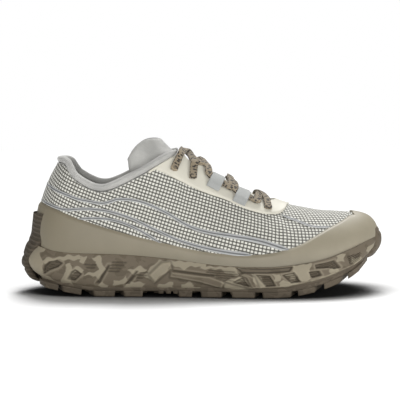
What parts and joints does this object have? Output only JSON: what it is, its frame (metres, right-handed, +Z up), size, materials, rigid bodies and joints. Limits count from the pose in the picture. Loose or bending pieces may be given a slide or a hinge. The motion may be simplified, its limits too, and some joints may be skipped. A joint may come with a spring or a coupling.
{
  "type": "trail running shoe",
  "caption": "Low trail running shoe for the right foot: lugged rubber tread, cushioned midsole, ripstop upper, rubber-backed rand, padded collar and laced throat.",
  "frame": {"origin": "on the floor under the middle of the shoe's bounding box", "axes": "+X from heel to toe along the sole, +Y to the medial side (the wearer's left, on this right shoe), +Z up"},
  "size_m": [0.302, 0.1076, 0.128],
  "materials": {
    "ripstop": "woven ripstop, matt",
    "foam": "moulded foam, matt, mottled",
    "tread_rubber": "moulded rubber, matt",
    "rand": "smooth film over fabric, matt",
    "eyestay": "smooth synthetic, matt",
    "lining": "brushed knit",
    "lace": "flat woven cord with dark flecks",
    "webbing": "flat webbing"
  },
  "bodies": {
    "root": {"upper": "ripstop", "midsole": "foam", "outsole": "tread_rubber", "rand": "rand", "eyestay": "eyestay", "insole": "lining", "collar_binding": "lining", "tongue": "lining", "lace": "lace", "lace_loop_lateral_1": "webbing", "lace_loop_medial_1": "webbing", "lace_loop_lateral_2": "webbing", "lace_loop_medial_2": "webbing"}
  },
  "joints": []
}
